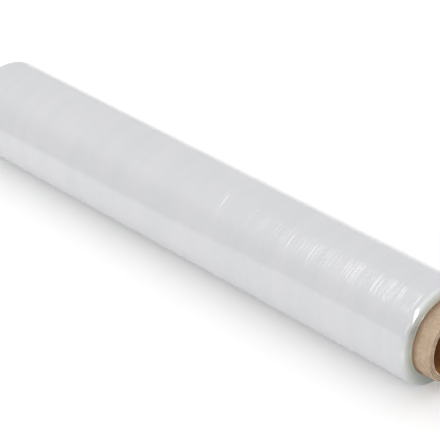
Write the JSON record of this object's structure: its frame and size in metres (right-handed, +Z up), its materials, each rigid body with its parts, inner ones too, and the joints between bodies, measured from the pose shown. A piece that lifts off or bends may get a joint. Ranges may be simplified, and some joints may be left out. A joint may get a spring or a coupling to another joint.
{
  "type": "stretch wrap roll",
  "caption": "Hand roll of clear stretch film wound on a paperboard tube that stands out at both ends, lying on its side.",
  "frame": {"origin": "on the floor under the middle of the roll, on the flat spot that it lies on", "axes": "+X along the roll's axis towards one end of the tube, +Z up, +Y level across the roll"},
  "size_m": [0.53, 0.0824, 0.0818],
  "materials": {
    "paperboard": "bare spiral-wound brown paperboard, knife-cut ends",
    "film": "clear cling film wound many turns deep, pale grey and glossy"
  },
  "bodies": {
    "root": {"core_tube": "paperboard", "film_roll": "film"}
  },
  "joints": []
}
